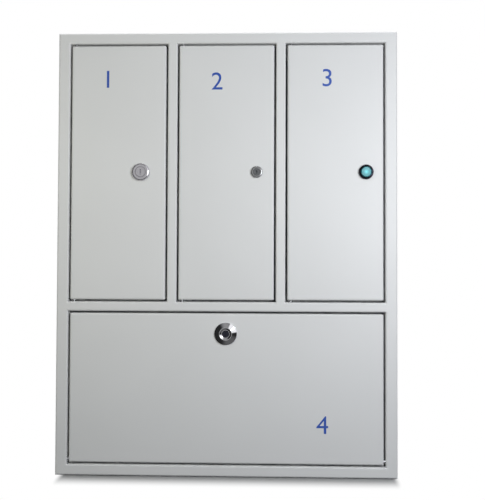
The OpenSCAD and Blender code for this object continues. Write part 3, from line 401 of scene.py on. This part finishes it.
def add_floor():
    """Floor with a painted shadow round the box's foot, where the lamps' real shadow falls too, that runs out
    into plain white.
    """
    mesh = bpy.data.meshes.new("studio_floor")
    corners = [(-FLOOR_REACH, FLOOR_FRONT, 0), (FLOOR_REACH, FLOOR_FRONT, 0),
               (FLOOR_REACH, FLOOR_REACH, 0), (-FLOOR_REACH, FLOOR_REACH, 0)]
    mesh.from_pydata(corners, [], [(0, 1, 2, 3)])
    floor = bpy.data.objects.new("studio_floor", mesh)
    floor.location = (0, 0, FLOOR_Z - FLOOR_GAP)
    bpy.context.scene.collection.objects.link(floor)
    material = bpy.data.materials.new("studio_floor")
    material.use_nodes = True
    nodes = material.node_tree.nodes
    links = material.node_tree.links
    nodes.clear()
    output = nodes.new("ShaderNodeOutputMaterial")
    _, sight = rays_that_see(nodes, links)

    # Near the box the floor is seen in a grey that paints its shadow; the lamps' real shadow darkens it
    # further
    tone = nodes.new("ShaderNodeMix")
    tone.data_type = "RGBA"
    tone.inputs["A"].default_value = FLOOR_REFLECTED
    tone.inputs["B"].default_value = FLOOR_SEEN_PAINTED_SHADOW
    links.new(sight, tone.inputs["Factor"])
    matt = nodes.new("ShaderNodeBsdfDiffuse")
    links.new(tone.outputs["Result"], matt.inputs["Color"])

    # Plain white further out, by the distance from the patch of painted shadow
    white = nodes.new("ShaderNodeEmission")
    links.new(sight, white.inputs["Strength"])
    place = nodes.new("ShaderNodeTexCoord")
    value = place.outputs["Object"]
    steps = [("SUBTRACT", PAINTED_SHADOW_MIDDLE), ("ABSOLUTE", None), ("SUBTRACT", PAINTED_SHADOW_HALF),
             ("MAXIMUM", (0, 0, 0)), ("DIVIDE", (PAINTED_SHADOW_SIDE_SHARE, 1, 1))]
    for operation, amount in steps:
        step = nodes.new("ShaderNodeVectorMath")
        step.operation = operation
        if amount:
            step.inputs[1].default_value = amount
        links.new(value, step.inputs[0])
        value = step.outputs["Vector"]
    distance = nodes.new("ShaderNodeVectorMath")
    distance.operation = "LENGTH"
    fade = nodes.new("ShaderNodeMapRange")
    fade.interpolation_type = "SMOOTHSTEP"
    fade.inputs["From Max"].default_value = PAINTED_SHADOW_FADE
    links.new(value, distance.inputs[0])
    links.new(distance.outputs["Value"], fade.inputs["Value"])
    mix = nodes.new("ShaderNodeMixShader")
    links.new(fade.outputs["Result"], mix.inputs["Fac"])
    links.new(matt.outputs["BSDF"], mix.inputs[1])
    links.new(white.outputs["Emission"], mix.inputs[2])
    links.new(mix.outputs["Shader"], output.inputs["Surface"])
    floor.data.materials.append(material)


def add_world():
    """White where the camera and glass see the backdrop, a studio for metal, and a soft fill."""
    world = bpy.data.worlds.new("studio")
    bpy.context.scene.world = world
    world.use_nodes = True
    nodes = world.node_tree.nodes
    links = world.node_tree.links
    nodes.clear()
    output = nodes.new("ShaderNodeOutputWorld")
    path = nodes.new("ShaderNodeLightPath")
    sight, _ = rays_that_see(nodes, links)

    fill = nodes.new("ShaderNodeBackground")
    fill.inputs["Color"].default_value = FILL_COLOR
    place = nodes.new("ShaderNodeTexCoord")
    height = nodes.new("ShaderNodeSeparateXYZ")
    level = nodes.new("ShaderNodeMapRange")
    level.inputs["From Min"].default_value = -HORIZON
    level.inputs["From Max"].default_value = HORIZON
    level.inputs["To Min"].default_value = GROUND_FILL
    level.inputs["To Max"].default_value = WORLD_FILL
    links.new(place.outputs["Generated"], height.inputs["Vector"])
    links.new(height.outputs["Z"], level.inputs["Value"])
    links.new(level.outputs["Result"], fill.inputs["Strength"])

    brightest = None
    for side, start, end, brightness in ROOM:
        facing = nodes.new("ShaderNodeVectorMath")
        facing.operation = "DOT_PRODUCT"
        facing.inputs[1].default_value = Vector(side).normalized()
        wall = nodes.new("ShaderNodeMapRange")
        wall.interpolation_type = "SMOOTHSTEP"
        wall.inputs["From Min"].default_value = start
        wall.inputs["From Max"].default_value = end
        wall.inputs["To Min"].default_value = ROOM_DARK
        wall.inputs["To Max"].default_value = brightness
        links.new(place.outputs["Generated"], facing.inputs[0])
        links.new(facing.outputs["Value"], wall.inputs["Value"])
        if brightest is None:
            brightest = wall.outputs["Result"]
            continue
        brighter = nodes.new("ShaderNodeMath")
        brighter.operation = "MAXIMUM"
        links.new(brightest, brighter.inputs[0])
        links.new(wall.outputs["Result"], brighter.inputs[1])
        brightest = brighter.outputs["Value"]
    gloss = nodes.new("ShaderNodeBackground")
    links.new(brightest, gloss.inputs["Strength"])

    backdrop = nodes.new("ShaderNodeBackground")
    backdrop.inputs["Color"].default_value = (1, 1, 1, 1)
    backdrop.inputs["Strength"].default_value = 1.0

    lit = nodes.new("ShaderNodeMixShader")
    links.new(path.outputs["Is Glossy Ray"], lit.inputs["Fac"])
    links.new(fill.outputs["Background"], lit.inputs[1])
    links.new(gloss.outputs["Background"], lit.inputs[2])
    shown = nodes.new("ShaderNodeMixShader")
    links.new(sight, shown.inputs["Fac"])
    links.new(lit.outputs["Shader"], shown.inputs[1])
    links.new(backdrop.outputs["Background"], shown.inputs[2])
    links.new(shown.outputs["Shader"], output.inputs["Surface"])


def add_lamp(name, place, target, size, watts, color, mirrored):
    """A soft box of size = (width, depth) that points at target, and may show in metal or not."""
    light = bpy.data.lights.new(name, "AREA")
    light.shape = "RECTANGLE"
    light.size, light.size_y = size
    light.energy = watts
    light.color = color
    lamp = bpy.data.objects.new(name, light)
    lamp.location = place
    lamp.rotation_euler = (Vector(target) - Vector(place)).to_track_quat("-Z", "Y").to_euler()
    lamp.visible_camera = False
    lamp.visible_glossy = mirrored
    bpy.context.scene.collection.objects.link(lamp)


def add_camera():
    """The photograph's viewpoint."""
    data = bpy.data.cameras.new("camera")
    data.sensor_width = SENSOR
    data.lens = FOCAL_PIXELS / IMAGE_LONG_SIDE * SENSOR
    data.clip_start, data.clip_end = CLIP
    camera = bpy.data.objects.new("camera", data)
    camera.location = CAMERA_PLACE
    camera.rotation_euler = [math.radians(angle) for angle in CAMERA_TURN]
    bpy.context.scene.collection.objects.link(camera)
    bpy.context.scene.camera = camera


for leftover in list(bpy.data.objects):
    bpy.data.objects.remove(leftover)

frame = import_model()

dress(frame["nodes"], frame["record"])
blue_ink = ink()
for door, number, place in NUMBERS:
    add_number(door, number, place, blue_ink)
add_floor()
add_world()
for lamp in LAMPS:
    add_lamp(*lamp)
add_camera()
bpy.context.scene.view_settings.view_transform = "Standard"
